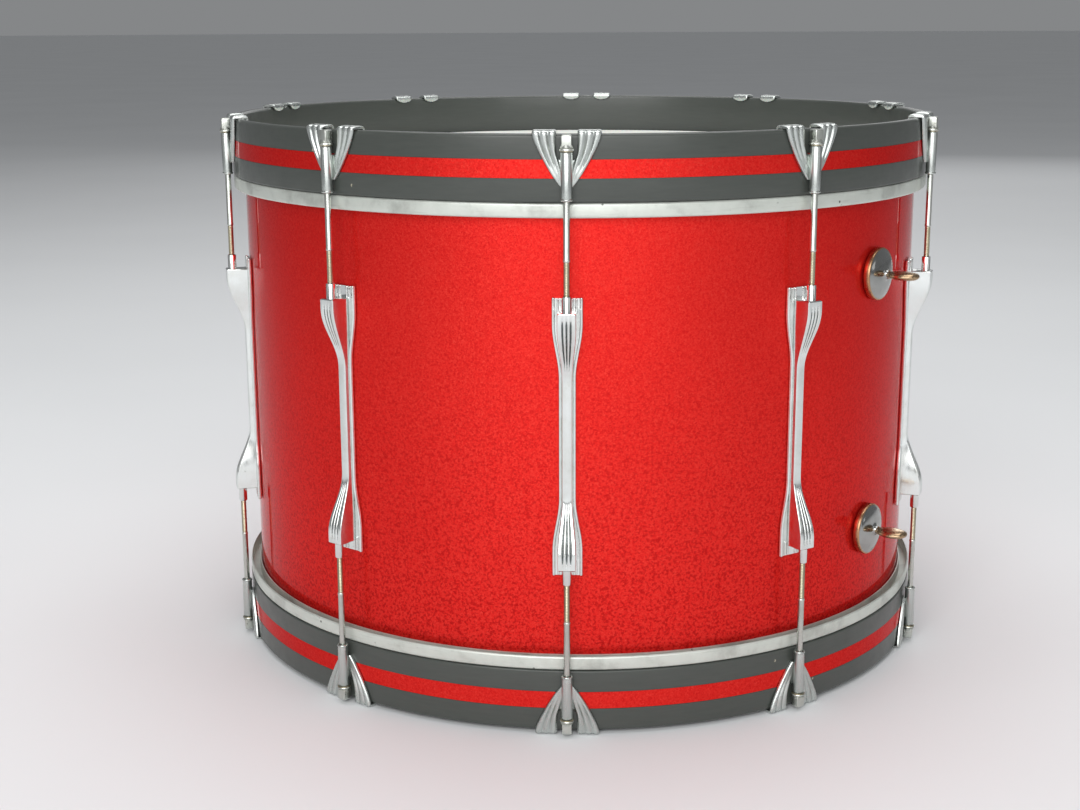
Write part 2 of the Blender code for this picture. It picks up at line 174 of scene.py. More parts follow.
# ---- node tools ----
class Shade:
    """One material's nodes, with its Principled shader ready."""

    def __init__(self, name, **values):
        self.material = bpy.data.materials.new(name)
        self.material.use_nodes = True
        self.nodes = self.material.node_tree.nodes
        self.shader = self.nodes["Principled BSDF"]
        self.coords = self.add("ShaderNodeTexCoord").outputs["Object"]
        for socket, value in values.items():
            self.shader.inputs[socket.replace("_", " ")].default_value = value

    def add(self, kind, **settings):
        node = self.nodes.new(kind)
        for key, value in settings.items():
            setattr(node, key, value)
        return node

    def join(self, source, target):
        self.material.node_tree.links.new(source, target)

    def feed(self, source, socket):
        self.join(source, self.shader.inputs[socket])

    def stretched(self, scale):
        node = self.add("ShaderNodeMapping")
        node.inputs["Scale"].default_value = scale
        self.join(self.coords, node.inputs["Vector"])
        return node.outputs["Vector"]

    def noise(self, scale, detail=3.0, roughness=0.55, coords=None):
        node = self.add("ShaderNodeTexNoise")
        node.inputs["Scale"].default_value = scale
        node.inputs["Detail"].default_value = detail
        node.inputs["Roughness"].default_value = roughness
        self.join(coords or self.coords, node.inputs["Vector"])
        return node.outputs["Fac"]

    def voronoi(self, scale, feature="F1", coords=None):
        node = self.add("ShaderNodeTexVoronoi", feature=feature)
        node.inputs["Scale"].default_value = scale
        self.join(coords or self.coords, node.inputs["Vector"])
        return node

    def ramp(self, source, stops):
        node = self.add("ShaderNodeValToRGB")
        elements = node.color_ramp.elements
        while len(elements) < len(stops):
            elements.new(0.5)
        for element, (place, colour) in zip(elements, stops):
            element.position = place
            element.color = (*colour, 1.0) if len(colour) == 3 else colour
        self.join(source, node.inputs["Fac"])
        return node.outputs["Color"]

    def span(self, source, low, high, to_low=0.0, to_high=1.0):
        node = self.add("ShaderNodeMapRange", clamp=True)
        limits = {"From Min": low, "From Max": high, "To Min": to_low, "To Max": to_high}
        for socket, value in limits.items():
            node.inputs[socket].default_value = value
        self.join(source, node.inputs["Value"])
        return node.outputs["Result"]

    def math(self, operation, first, second):
        node = self.add("ShaderNodeMath", operation=operation)
        for socket, value in zip(node.inputs, (first, second)):
            if isinstance(value, (int, float)):
                socket.default_value = value
            else:
                self.join(value, socket)
        return node.outputs["Value"]

    def vector(self, operation, first, second):
        node = self.add("ShaderNodeVectorMath", operation=operation)
        for socket, value in zip(node.inputs, (first, second)):
            if isinstance(value, tuple):
                socket.default_value = value
            else:
                self.join(value, socket)
        return node.outputs["Vector"]

    def mix(self, factor, first, second, blend="MIX"):
        node = self.add("ShaderNodeMix", data_type="RGBA", blend_type=blend)
        places = {"Factor": node.inputs[0], "A": node.inputs[6], "B": node.inputs[7]}
        for key, value in (("Factor", factor), ("A", first), ("B", second)):
            if isinstance(value, (int, float)):
                places[key].default_value = value
            elif isinstance(value, tuple):
                places[key].default_value = (*value, 1.0)
            else:
                self.join(value, places[key])
        return node.outputs[2]

    def bump(self, height, strength, distance, normal=None):
        node = self.add("ShaderNodeBump")
        node.inputs["Strength"].default_value = strength
        node.inputs["Distance"].default_value = distance
        self.join(height, node.inputs["Height"])
        if normal is not None:
            self.join(normal, node.inputs["Normal"])
        return node.outputs["Normal"]

    def height(self):
        node = self.add("ShaderNodeSeparateXYZ")
        self.join(self.coords, node.inputs["Vector"])
        return node.outputs["Z"]


# ---- materials ----
def sparkle_material(name):
    """Red foil flakes set in clear plastic: each flake tilts its own way under a smooth gloss coat."""
    shade = Shade(
        name,
        Metallic=0.72,
        Roughness=0.42,
        Specular_IOR_Level=0.15,
        Specular_Tint=(1.0, 0.12, 0.10, 1.0),
        Coat_Weight=0.85,
        Coat_Roughness=0.03,
        Coat_IOR=1.13,
        Coat_Tint=(0.78, 0.48, 0.56, 1.0),
    )
    flakes = shade.voronoi(1250.0)
    crumple = shade.noise(520.0, 3.0, 0.6)
    cloud = shade.noise(9.0, 2.0)
    flake_share = shade.math("MULTIPLY", flakes.outputs["Color"], 0.45)
    grain = shade.math("ADD", flake_share, shade.math("MULTIPLY", crumple, 0.55))
    red = shade.ramp(
        grain,
        [
            (0.28, (0.84, 0.026, 0.022)),
            (0.46, (0.94, 0.042, 0.030)),
            (0.62, (0.98, 0.060, 0.040)),
            (0.84, (1.0, 0.115, 0.070)),
        ],
    )
    # painted shade: the wrap turns darker and grainier towards the bottom, with dark crumpled-foil specks
    # mixed in more and more lower down
    low = shade.span(shade.height(), 0.08, -0.13, 0.03, 0.50)
    painted_low_shade = shade.math("MULTIPLY", shade.span(crumple, 0.50, 0.40), low)
    red = shade.mix(painted_low_shade, red, (0.36, 0.003, 0.005))
    red = shade.mix(shade.span(cloud, 0.3, 0.7, 0.0, 0.12), red, (0.55, 0.006, 0.006))
    shade.feed(red, "Base Color")
    tilt = shade.vector("SUBTRACT", flakes.outputs["Color"], (0.5, 0.5, 0.5))
    tilt = shade.vector("MULTIPLY", tilt, (0.12, 0.12, 0.12))
    normal = shade.vector("ADD", shade.add("ShaderNodeNewGeometry").outputs["Normal"], tilt)
    unit = shade.vector("NORMALIZE", normal, (0.0, 0.0, 0.0))
    shade.feed(unit, "Normal")
    ripple = shade.bump(shade.noise(32.0, 2.0), 0.10, 0.0006)
    shade.feed(ripple, "Coat Normal")
    return shade.material


def black_material(name):
    """Old satin black lacquer with a brushed grain round the hoop and small pale chips."""
    shade = Shade(name, Coat_Weight=0.3, Coat_Roughness=0.16)
    grain = shade.noise(60.0, 4.0, 0.6, shade.stretched((1.0, 1.0, 9.0)))
    wear = shade.noise(38.0, 5.0, 0.65)
    colour = shade.ramp(grain, [(0.30, (0.042, 0.048, 0.042)), (0.70, (0.050, 0.056, 0.049))])
    chips = shade.voronoi(120.0)
    specks = shade.span(chips.outputs["Distance"], 0.16, 0.12)
    chip = shade.math("MULTIPLY", specks, shade.span(wear, 0.66, 0.70))
    colour = shade.mix(chip, colour, (0.42, 0.38, 0.28))
    shade.feed(colour, "Base Color")
    shade.feed(shade.span(wear, 0.3, 0.7, 0.34, 0.52), "Roughness")
    shade.feed(shade.bump(shade.math("SUBTRACT", grain, chip), 0.08, 0.0003), "Normal")
    return shade.material


def film_material(name):
    """White drumhead film, faintly mottled, rubbed grey by play towards the middle."""
    shade = Shade(
        name,
        Roughness=0.65,
        Specular_IOR_Level=0.15,
        Subsurface_Weight=0.08,
        Subsurface_Scale=0.004,
    )
    mottle = shade.noise(26.0, 5.0, 0.6)
    scuffs = shade.noise(210.0, 4.0, 0.7, shade.stretched((1.0, 0.6, 1.0)))
    radius = shade.add("ShaderNodeVectorMath", operation="LENGTH")
    shade.join(shade.stretched((1.0, 1.0, 0.0)), radius.inputs[0])
    played = shade.span(radius.outputs["Value"], 0.03, 0.15, 0.30, 0.0)
    colour = shade.ramp(mottle, [(0.3, (0.80, 0.79, 0.73)), (0.7, (0.88, 0.875, 0.83))])
    rubbed = shade.math("MULTIPLY", played, shade.span(scuffs, 0.42, 0.66))
    colour = shade.mix(rubbed, colour, (0.47, 0.45, 0.40))
    shade.feed(colour, "Base Color")
    shade.feed(shade.bump(shade.noise(700.0, 2.0), 0.12, 0.0002), "Normal")
    return shade.material


def aluminium_material(name):
    """Dull flesh hoop: aluminium gone cloudy, with smudges and small dark pits."""
    shade = Shade(name, Metallic=0.55)
    cloud = shade.noise(42.0, 5.0, 0.62)
    pits = shade.voronoi(150.0)
    specks = shade.span(pits.outputs["Distance"], 0.15, 0.11)
    pit = shade.math("MULTIPLY", specks, shade.span(cloud, 0.56, 0.62))
    streak = shade.noise(30.0, 3.0, 0.5, shade.stretched((1.0, 1.0, 14.0)))
    dull, plain, bright = (0.46, 0.48, 0.44), (0.61, 0.64, 0.59), (0.68, 0.71, 0.66)
    colour = shade.ramp(cloud, [(0.32, dull), (0.48, plain), (0.72, bright)])
    colour = shade.mix(shade.span(streak, 0.6, 0.75, 0.0, 0.35), colour, (0.36, 0.36, 0.32))
    colour = shade.mix(pit, colour, (0.10, 0.10, 0.09))
    shade.feed(colour, "Base Color")
    shade.feed(shade.span(cloud, 0.3, 0.7, 0.34, 0.50), "Roughness")
    shade.feed(shade.bump(shade.math("SUBTRACT", streak, pit), 0.25, 0.0002), "Normal")
    return shade.material


def plate_material(name, colour, tarnish, roughness):
    """Bright plating with cloudy patches, fine wipe marks and small pits."""
    shade = Shade(name, Metallic=1.0)
    cloud = shade.noise(95.0, 4.0, 0.6)
    wipe = shade.noise(240.0, 3.0, 0.6, shade.stretched((1.0, 1.0, 0.12)))
    pits = shade.voronoi(420.0)
    specks = shade.span(pits.outputs["Distance"], 0.20, 0.14)
    pit = shade.math("MULTIPLY", specks, shade.span(cloud, 0.62, 0.67))
    tint = shade.mix(shade.span(cloud, 0.45, 0.75, 0.0, 0.55), colour, tarnish)
    tint = shade.mix(pit, tint, tuple(c * 0.25 for c in tarnish))
    shade.feed(tint, "Base Color")
    shade.feed(shade.span(wipe, 0.3, 0.7, roughness * 0.75, roughness * 1.45), "Roughness")
    shade.feed(shade.bump(shade.math("SUBTRACT", wipe, pit), 0.10, 0.00012), "Normal")
    return shade.material


def wood_material(name, light, dark):
    """Bare plywood inside the shell, its grain running round the drum."""
    shade = Shade(name, Roughness=0.62)
    grain = shade.noise(34.0, 6.0, 0.62, shade.stretched((1.0, 1.0, 13.0)))
    pores = shade.noise(420.0, 2.0, 0.5, shade.stretched((0.3, 0.3, 1.0)))
    colour = shade.ramp(grain, [(0.32, dark), (0.68, light)])
    colour = shade.mix(shade.span(pores, 0.6, 0.75, 0.0, 0.5), colour, tuple(c * 0.5 for c in dark))
    shade.feed(colour, "Base Color")
    shade.feed(shade.bump(grain, 0.3, 0.0004), "Normal")
    return shade.material


def felt_material(name):
    shade = Shade(name, Roughness=0.95, Sheen_Weight=0.5, Sheen_Roughness=0.5)
    fibres = shade.noise(900.0, 4.0, 0.7)
    clumps = shade.noise(120.0, 3.0)
    colour = shade.mix(clumps, (0.62, 0.58, 0.48), (0.78, 0.75, 0.66))
    colour = shade.mix(shade.span(fibres, 0.35, 0.65, 0.0, 0.5), colour, (0.40, 0.36, 0.28))
    shade.feed(colour, "Base Color")
    shade.feed(shade.bump(fibres, 0.8, 0.0006), "Normal")
    return shade.material


SPARKLE = sparkle_material("red_sparkle_wrap")
BLACK = black_material("black_lacquer")
FILM_WHITE = film_material("white_film")
ALUMINIUM = aluminium_material("dull_aluminium")
CHROME = plate_material("lug_plating", (0.78, 0.80, 0.79), (0.62, 0.62, 0.57), 0.15)
# painted shade: a darker copy of the lug plating for the flutes' groove bottoms, standing in for the shade
# inside them
FLUTE_SHADE = plate_material("flute_painted_shade", (0.36, 0.38, 0.38), (0.28, 0.29, 0.28), 0.22)
CLAW_CHROME = plate_material("claw_plating", (0.55, 0.58, 0.56), (0.46, 0.47, 0.44), 0.27)
NICKEL = plate_material("rod_plating", (0.60, 0.62, 0.58), (0.48, 0.48, 0.42), 0.28)
BRASS = plate_material("worn_thread_brass", (0.46, 0.42, 0.30), (0.30, 0.26, 0.17), 0.32)
# painted reflection: the controls' nickel is much darker than the rods' and stands in for dark
# surroundings mirrored in the disc face
DISC_NICKEL_PAINTED_DARK = plate_material("control_plating_painted_dark", (0.38, 0.38, 0.37), (0.24, 0.23, 0.21), 0.12)
COPPER = plate_material("control_worn_edge", (0.50, 0.29, 0.16), (0.27, 0.17, 0.10), 0.26)
BLADE_BRASS = plate_material("control_worn_blade", (0.44, 0.31, 0.19), (0.22, 0.15, 0.09), 0.26)
STEEL = plate_material("damper_plating", (0.62, 0.62, 0.60), (0.40, 0.38, 0.34), 0.30)
GROMMET = plate_material("vent_plating", (0.76, 0.75, 0.71), (0.52, 0.50, 0.44), 0.18)
PLYWOOD = wood_material("plywood", (0.50, 0.34, 0.18), (0.33, 0.20, 0.10))
MAPLE = wood_material("reinforcement_maple", (0.62, 0.46, 0.28), (0.46, 0.31, 0.17))
FELT = felt_material("damper_felt")


# ---- mesh tools ----
def finished(name, points, faces, materials, indices=None, sharp=38.0):
    """A mesh with outward faces, smooth except at edges sharper than this angle."""
    bm = bmesh.new()
    corners = [bm.verts.new(p) for p in points]
    for number, face in enumerate(faces):
        made = bm.faces.new([corners[i] for i in face])
        made.material_index = indices[number] if indices else 0
    bmesh.ops.recalc_face_normals(bm, faces=bm.faces)
    mesh = bpy.data.meshes.new(name)
    bm.to_mesh(mesh)
    bm.free()
    for finish in materials:
        mesh.materials.append(finish)
    mesh.shade_smooth()
    mesh.set_sharp_from_angle(angle=math.radians(sharp))
    return mesh


def turned(name, profile, materials, facets=FACETS, sharp=38.0, centre=(0.0, 0.0)):
    """A profile of (radius, height) or (radius, height, material) points turned about Z, closed on
    itself, or on the axis where it starts and ends at radius 0."""
    on_axis = profile[0][0] == 0
    rings, points = [], []
    for radius, height, *_ in profile:
        count = 1 if radius == 0 else facets
        rings.append([len(points) + i for i in range(count)])
        for i in range(count):
            angle = 2 * math.pi * i / facets
            x, y = radius * math.sin(angle), radius * math.cos(angle)
            points.append((centre[0] + x, centre[1] - y, height))
    pairs = list(zip(rings, rings[1:])) if on_axis else list(zip(rings, rings[1:] + rings[:1]))
    faces, indices = [], []
    for number, (lower, upper) in enumerate(pairs):
        index = profile[number][2] if len(profile[number]) > 2 else 0
        below, above = len(lower), len(upper)
        for i in range(facets):
            j = (i + 1) % facets
            face = [lower[i % below], lower[j % below], upper[j % above], upper[i % above]]
            faces.append(list(dict.fromkeys(face)))
            indices.append(index)
    return finished(name, points, faces, materials, indices, sharp)


def loft(sections, start=0):
    """Points and faces of a closed solid through sections with equal counts of points."""
    count = len(sections[0])
    points = [p for section in sections for p in section]
    last = start + len(points) - count
    faces = [[start + i for i in range(count)], [last + i for i in range(count)]]
    for k in range(len(sections) - 1):
        for i in range(count):
            j = (i + 1) % count
            low, high = start + k * count, start + (k + 1) * count
            faces.append([low + i, low + j, high + j, high + i])
    return points, faces


def lofted(name, solids, materials, sharp=38.0, kinds=None):
    """One mesh of several closed lofts. kinds gives each loft's material number."""
    points, faces, indices = [], [], []
    for number, sections in enumerate(solids):
        more_points, more_faces = loft(sections, len(points))
        points += more_points
        faces += more_faces
        indices += [kinds[number] if kinds else 0] * len(more_faces)
    return finished(name, points, faces, materials, indices, sharp)


def circle(radius, count, phase=0.0):
    angles = [2 * math.pi * i / count + phase for i in range(count)]
    return [(radius * math.cos(a), radius * math.sin(a)) for a in angles]


def bead(path, radius, count=10, flatten=1.0):
    """Sections of a bar with rounded ends along a path of (x, y, z) points that runs mostly along Z."""
    sections = []
    steps = 4
    first, last = Vector(path[0]), Vector(path[-1])
    start_way = (first - Vector(path[1])).normalized()
    end_way = (last - Vector(path[-2])).normalized()
    stations = [(first + start_way * radius * math.cos(a), math.sin(a)) for a in
                [math.pi / 2 * (k + 0.35) / steps for k in range(steps)]]
    stations += [(Vector(p), 1.0) for p in path]
    stations += [(last + end_way * radius * math.cos(a), math.sin(a)) for a in
                 [math.pi / 2 * (1 - (k + 0.65) / steps) for k in range(steps)]]
    for place, scale in stations:
        sections.append([(place.x + u * scale, place.y + v * scale * flatten, place.z)
                         for u, v in circle(radius, count)])
    return sections


def smooth_step(value, low, high):
    t = min(1.0, max(0.0, (value - low) / (high - low)))
    return t * t * (3 - 2 * t)


def spread(low, high, count):
    return [low + (high - low) * i / (count - 1) for i in range(count)]


def merged(name, meshes):
    """One mesh of several, keeping each one's materials."""
    bm = bmesh.new()
    materials = []
    for mesh in meshes:
        shift = []
        for finish in mesh.materials:
            if finish not in materials:
                materials.append(finish)
            shift.append(materials.index(finish))
        before = len(bm.faces)
        bm.from_mesh(mesh)
        bm.faces.ensure_lookup_table()
        for face in bm.faces[before:]:
            face.material_index = shift[face.material_index]
    made = bpy.data.meshes.new(name)
    bm.to_mesh(made)
    bm.free()
    for finish in materials:
        made.materials.append(finish)
    return made


def cut(mesh, cutters):
    """The mesh with these cutters' shapes taken out of it."""
    obj = bpy.data.objects.new("blank", mesh)
    bpy.context.scene.collection.objects.link(obj)
    helpers = []
    for cutter in cutters:
        helper = bpy.data.objects.new("cutter", cutter)
        bpy.context.scene.collection.objects.link(helper)
        helpers.append(helper)
        boolean = obj.modifiers.new("cut", "BOOLEAN")
        boolean.operation = "DIFFERENCE"
        boolean.object = helper
    graph = bpy.context.evaluated_depsgraph_get()
    made = bpy.data.meshes.new_from_object(obj.evaluated_get(graph))
    made.set_sharp_from_angle(angle=math.radians(38.0))
    for helper in [*helpers, obj]:
        bpy.data.objects.remove(helper)
    return made


# ---- placing ----
def put(name, mesh, body, replaces=(), turn=0.0, flip=False, inner=Matrix.Identity(4)):
    """An object of this mesh, turned about the drum's axis and, for a lower fitting, turned over."""
    obj = bpy.data.objects.new(name, mesh)
    bpy.context.scene.collection.objects.link(obj)
    over = Matrix.Rotation(math.pi, 4, "Y") if flip else Matrix.Identity(4)
    obj.matrix_world = Matrix.Translation((0, 0, MIDDLE)) @ Matrix.Rotation(turn, 4, "Z") @ over @ inner
    bpy.context.view_layer.update()
    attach(obj, body)
    if replaces:
        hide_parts(*replaces)
    return obj


# ---- shell ----
def radial_pin(name, azimuth, height, radius):
    """A cutter along the radius at this azimuth, through the shell's wall."""
    ring = circle(radius, 24)
    sections = [[(u, -r, height + v) for u, v in ring] for r in (PIN_START, PIN_END)]
    mesh = lofted(name, [sections], [])
    mesh.transform(Matrix.Rotation(azimuth, 4, "Z"))
    return mesh


def tone_controls():
    """Each tone control's (side, azimuth, height above the drum's middle), from its joint."""
    found = []
    for side in SIDES:
        joint = next(j for j in frame["joints"] if j["name"] == f"{side}_tone_control_turn")
        x, y, z = joint["pos_m"]
        found.append((side, math.atan2(x, -y), z - MIDDLE))
    return found


def build_shell():
    inner = SHELL_RADIUS - SHELL_WALL
    drop = SHELL_WALL + RING_WALL - EDGE_BEVEL  # the outer round-over's size
    round_over = []
    for k in range(7):
        a = math.pi / 2 * k / 6
        round_over.append((SHELL_RADIUS - drop + drop * math.sin(a), EDGE - drop + drop * math.cos(a)))
    top = [(inner, EDGE - RING_HEIGHT, 1), (inner, EDGE - EDGE_BEVEL + RING_WALL, 1)]
    top += [(r, z, 1 if k < 6 else 0) for k, (r, z) in enumerate(round_over)]
    heights = spread(EDGE - drop - 0.02, -(EDGE - drop - 0.02), 5)
    wall = [(SHELL_RADIUS, z, 0) for z in heights]
    bottom = [(r, -z, 1) for r, z in reversed(round_over)]
    bottom += [(inner, -(EDGE - EDGE_BEVEL + RING_WALL), 1), (inner, -(EDGE - RING_HEIGHT), 1)]
    blank = turned("shell_tube", top + wall + bottom, [SPARKLE, PLYWOOD])
    cutters = []
    for _, azimuth, height in tone_controls():
        cutters.append(radial_pin("shaft_hole", azimuth, height, TONE_SHAFT_RADIUS + 0.0008))
    cutters.append(radial_pin("vent_hole", VENT_AZIMUTH, 0.0, VENT_TUBE + 0.0005))
    put("shell_tube", cut(blank, cutters), "drum_frame", ["shell"])
    ring = turned(
        "reinforcement_ring",
        [
            (inner - 0.00005, EDGE - RING_HEIGHT - RING_WALL),
            (inner - RING_WALL, EDGE - RING_HEIGHT),
            (inner - RING_WALL, EDGE - EDGE_BEVEL),
            (inner - 0.00005, EDGE - EDGE_BEVEL + RING_WALL),
        ],
        [MAPLE],
        144,
    )
    for side in SIDES:
        flip = side == "lower"
        put(f"{side}_reinforcement_ring", ring, "drum_frame", ["shell"], flip=flip)


# ---- counterhoops and heads ----
def rounded_corner(radius, height, size, turn_from, turn_to, steps=4):
    """Points of a round corner with its centre at (radius, height), angles in degrees."""
    angles = [math.radians(a) for a in spread(turn_from, turn_to, steps + 1)]
    return [(radius + size * math.cos(a), height + size * math.sin(a)) for a in angles]


def build_hoops():
    size = HOOP_ROUND
    groove = HOOP_RADIUS - INLAY_GROOVE
    profile = rounded_corner(HOOP_INNER_RADIUS + size, HOOP_FOOT + size, size, 180, 270)
    profile += rounded_corner(HOOP_RADIUS - size, HOOP_FOOT + size, size, 270, 360)
    profile += [(HOOP_RADIUS, RIM - INLAY_FOOT), (groove, RIM - INLAY_FOOT)]
    profile += [(groove, RIM - INLAY_TOP), (HOOP_RADIUS, RIM - INLAY_TOP)]
    profile += rounded_corner(HOOP_RADIUS - RIM_ROUND, RIM - RIM_ROUND, RIM_ROUND, 0, 90, 7)
    profile += rounded_corner(HOOP_INNER_RADIUS + RIM_ROUND, RIM - RIM_ROUND, RIM_ROUND, 90, 180, 7)
    hoop = turned("counterhoop", profile, [BLACK])
    face = HOOP_RADIUS - 0.00008
    inlay = turned(
        "inlay_strip",
        [
            (groove + 0.00002, RIM - INLAY_FOOT + 0.0002),
            (face, RIM - INLAY_FOOT + 0.0002),
            (face, RIM - INLAY_TOP - 0.0002),
            (groove + 0.00002, RIM - INLAY_TOP - 0.0002),
        ],
        [SPARKLE],
    )
    for side in SIDES:
        flip = side == "lower"
        put(f"{side}_hoop", hoop, "drum_frame", [f"{side}_counterhoop"], flip=flip)
        put(f"{side}_inlay_strip", inlay, "drum_frame", [f"{side}_counterhoop"], flip=flip)


def build_heads():
    flat = SHELL_RADIUS - SHELL_WALL - RING_WALL + EDGE_BEVEL
    hoop_top = HOOP_FOOT - GAP
    bend = SHELL_RADIUS + GAP + FILM - flat
    outer = [(0, HEAD_TOP)]
    outer += [(flat * k / 6, HEAD_TOP) for k in range(1, 6)]
    inner = []
    for k in range(8):
        a = math.pi / 2 * k / 7
        drop = HEAD_TOP - bend
        outer.append((flat + bend * math.sin(a), drop + bend * math.cos(a)))
        inner.append((flat + (bend - FILM) * math.sin(a), drop + (bend - FILM) * math.cos(a)))
    outer.append((SHELL_RADIUS + GAP + FILM, FLESH_FOOT + 0.004))
    inner.append((SHELL_RADIUS + GAP, FLESH_FOOT + 0.004))
    back = [(flat * k / 6, HEAD_TOP - FILM) for k in range(5, 0, -1)] + [(0, HEAD_TOP - FILM)]
    film = turned("head_film", outer + inner[::-1] + back, [FILM_WHITE])
    wall = 0.0009
    size = 0.0016
    tucked = SHELL_RADIUS + GAP + FILM + 0.0001
    channel = [(tucked + wall, FLESH_FOOT + 0.001), (tucked + wall, hoop_top - wall)]
    channel += [(FLESH_RADIUS - wall, hoop_top - wall), (FLESH_RADIUS - wall, FLESH_FOOT + 0.001)]
    channel += rounded_corner(FLESH_RADIUS - size, FLESH_FOOT + size, size, 300, 360)
    channel += rounded_corner(FLESH_RADIUS - size, hoop_top - size, size, 0, 90)
    channel += rounded_corner(tucked + 0.001, hoop_top - 0.001, 0.001, 90, 180, 3)
    channel += [(tucked, FLESH_FOOT + 0.001)]
    flesh = turned("flesh_hoop", channel, [ALUMINIUM])
    for side in SIDES:
        flip = side == "lower"
        put(f"{side}_film", film, "drum_frame", [f"{side}_head"], flip=flip)
        put(f"{side}_flesh_hoop", flesh, "drum_frame", [f"{side}_head"], flip=flip)


# ---- lugs ----
def body_half_width(z):
    return BAR_HALF_WIDTH + BODY_FLARE * smooth_step(abs(z), *BODY_FLARE_SPAN)


def body_front(z):
    return BAR_FRONT + (LUG_FRONT - BAR_FRONT) * smooth_step(abs(z), *FRONT_FLARE_SPAN)


def flange_half_width(z):
    return FLANGE_HALF_WIDTH + FLANGE_FLARE * smooth_step(abs(z), *FLANGE_FLARE_SPAN)


def lug_body_section(z, shrink=0.0):
    """One outline of the body: plain side walls and a fluted front that turns smooth in the middle."""
    half = body_half_width(z) - shrink
    front = body_front(z) - shrink
    begun = smooth_step(abs(z), *FLUTE_START_SPAN)
    ended = smooth_step(abs(z), *FLUTE_END_SPAN)
    depth = FLUTE_DEPTH * begun * (1.0 - ended)
    crown = 0.0005 * (1.0 - smooth_step(abs(z), 0.030, 0.052))
    corner = 0.0007
    face = half * (0.78 + 0.19 * smooth_step(abs(z), 0.034, 0.070))  # the side walls lean in a little
    points = [(-half, -(LUG_BACK + 0.0010), z)]
    for k in range(4):
        a = math.pi / 2 * k / 3
        points.append((-face + corner * (1 - math.cos(a)), -(front - corner + corner * math.sin(a)), z))
    steps = 16 * FLUTES
    for k in range(1, steps):
        u = k / steps
        x = (-face + corner) + 2 * (face - corner) * u
        wave = abs(math.cos(math.pi * FLUTES * u)) if 0.5 < u * FLUTES < FLUTES - 0.5 else 0.0
        groove = 0.35 * wave ** 2 + 0.65 * wave ** 7
        points.append((x, -(front - depth * groove + crown * (1 - (2 * u - 1) ** 2) * 0.6), z))
    mirrored = [(-x, y, zz) for x, y, zz in points[:5]]
    return points + mirrored[::-1]


def lug_flange_section(z):
    half = flange_half_width(z)
    top = LUG_BACK + LUG_FLANGE
    outline = [
        (-half + 0.0002, LUG_BACK),
        (-half, LUG_BACK + 0.0004),
        (-half, top - 0.0008),
        (-half + 0.0006, top - 0.0003),
        (-half + 0.0016, top - 0.0004),
    ]
    outline += [(-x, r) for x, r in reversed(outline)]
    return [(x, -r, z) for x, r in outline]


def lug_mesh():
    ends = LUG_BODY_HALF_LENGTH
    heights = spread(-ends + 0.0006, ends - 0.0006, 81)
    body = [lug_body_section(-ends, 0.0006)]
    body += [lug_body_section(z) for z in heights]
    body += [lug_body_section(ends, 0.0006)]
    flange = [lug_flange_section(z) for z in spread(-LUG_HALF_LENGTH, LUG_HALF_LENGTH, 61)]
    solids = [body, flange]
    for side in (-1, 1):
        rail_end = LUG_HALF_LENGTH - LUG_BEAD + 0.0006
        rail = []
        for z in spread(-rail_end, rail_end, 61):
            rail.append((side * (flange_half_width(z) - LUG_BEAD), -(LUG_BACK + LUG_FLANGE - 0.0004), z))
        solids.append(bead(rail, LUG_BEAD))
        for end in (-1, 1):
            for x in (0.0034, 0.0058):
                foot, tip = end * (ends - 0.002), end * (LUG_HALF_LENGTH - 0.0008)
                y = -(LUG_BACK + LUG_FLANGE - 0.0002)
                ridge = [(side * x, y, z) for z in (foot, (foot + tip) / 2, tip)]
                solids.append(bead(ridge, 0.0008))
    mesh = lofted("lug", solids, [CHROME, FLUTE_SHADE], 44.0)
    for face in mesh.polygons:  # painted shade: the narrow bottoms of the flutes get a darker plating
        x, y, z = face.center
        on_front = abs(x) < 0.75 * body_half_width(z) and abs(z) < ends - 0.001
        sunk = body_front(z) + y
        if on_front and 0.45 * FLUTE_DEPTH < sunk < 1.3 * FLUTE_DEPTH:
            face.material_index = 1
    return mesh


def nut_mesh():
    """A swivel nut's tube, about the rod's own axis, for an upper rod."""
    end = LUG_MIDDLE + LUG_HALF_LENGTH + 0.0028
    profile = [
        (NUT_BORE, ROD_END + 0.001),
        (NUT_RADIUS, ROD_END + 0.001),
        (NUT_RADIUS, end - 0.0005),
        (NUT_RADIUS - 0.0003, end),
        (NUT_BORE + 0.0002, end),
        (NUT_BORE, end - 0.0003),
    ]
    return turned("swivel_nut", profile, [CHROME], 28)


def screw_mesh():
    """A lug screw's round head and washer inside the shell, about the radius at azimuth 0."""
    inside = SHELL_RADIUS - SHELL_WALL
    profile = [(0, 0.0032), (0.0022, 0.0030), (0.0036, 0.0021), (0.0040, 0.0009), (0.0040, 0.0008),
               (0.0056, 0.0008), (0.0056, 0.0), (0, 0.0)]
    mesh = turned("lug_screw", profile, [NICKEL], 24)
    mesh.transform(Matrix.Translation((0, -inside + 0.0001, 0)) @ Matrix.Rotation(-math.pi / 2, 4, "X"))
    return mesh


# ---- claws ----
def wing_inner_edge(z):
    if z > -(NOTCH_DEPTH - NOTCH_HALF_WIDTH):
        return NOTCH_HALF_WIDTH
    down = (-z - (NOTCH_DEPTH - NOTCH_HALF_WIDTH)) / NOTCH_HALF_WIDTH
    return NOTCH_HALF_WIDTH * math.sqrt(max(0.0, 1 - down * down))


def wing_outer_edge(z):
    t = min(1.0, max(0.0, -z / CLAW_DEPTH))
    return TUBE_RADIUS * 0.95 + (CLAW_HALF_WIDTH - TUBE_RADIUS * 0.95) * (1 - t ** 1.28) ** 0.92


